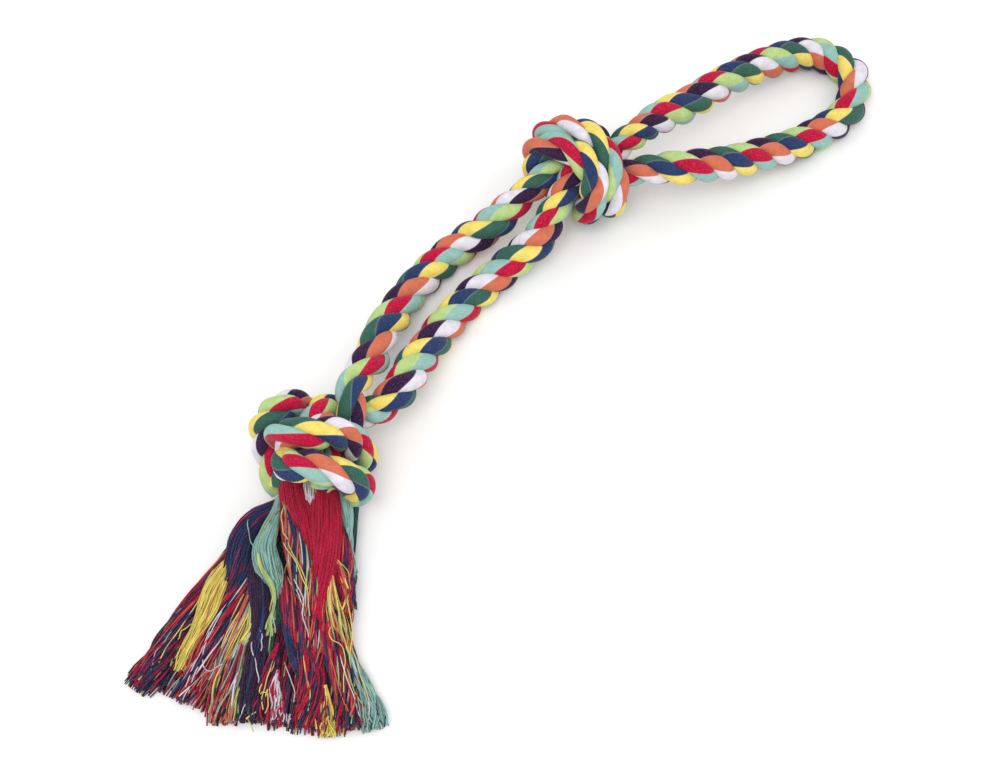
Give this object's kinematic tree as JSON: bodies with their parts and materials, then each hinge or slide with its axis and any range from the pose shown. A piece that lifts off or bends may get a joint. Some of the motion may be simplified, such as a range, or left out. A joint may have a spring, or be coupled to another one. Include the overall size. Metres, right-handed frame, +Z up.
{
  "type": "rope dog toy",
  "caption": "Knotted rope tug toy for a dog: thick laid rope doubled into a hand loop, tied in knots, with a frayed tassel of unlaid plies.",
  "frame": {"origin": "middle of the floor under the whole toy", "axes": "+X along the toy towards the hand loop, +Z up from the floor that it lies on"},
  "size_m": [0.5404, 0.1672, 0.0658],
  "materials": {
    "rope": "matt cotton rope, nine colours of ply",
    "yarn_crimson": "matt cotton yarn",
    "yarn_navy": "matt cotton yarn",
    "yarn_yellow": "matt cotton yarn",
    "yarn_green": "matt cotton yarn",
    "yarn_plum": "matt cotton yarn",
    "yarn_orange": "matt cotton yarn",
    "yarn_white": "matt cotton yarn",
    "yarn_lime": "matt cotton yarn",
    "yarn_aqua": "matt cotton yarn"
  },
  "bodies": {
    "root": {"handle_loop": "rope", "upper_knot_turn_a": "rope", "upper_knot_turn_b": "rope", "leg_left": "rope", "leg_right": "rope", "lower_knot_turn_a": "rope", "lower_knot_turn_b": "rope", "tassel_a_plum": "yarn_plum", "tassel_a_yellow": "yarn_yellow", "tassel_a_navy": "yarn_navy", "tassel_a_white": "yarn_white", "tassel_a_aqua": "yarn_aqua", "tassel_a_orange": "yarn_orange", "tassel_a_lime": "yarn_lime", "tassel_a_green": "yarn_green", "tassel_a_crimson": "yarn_crimson", "tassel_b_yellow": "yarn_yellow", "tassel_b_crimson": "yarn_crimson", "tassel_b_lime": "yarn_lime", "tassel_b_plum": "yarn_plum", "tassel_b_white": "yarn_white", "tassel_b_navy": "yarn_navy", "tassel_b_aqua": "yarn_aqua", "tassel_b_orange": "yarn_orange", "tassel_b_green": "yarn_green"}
  },
  "joints": []
}
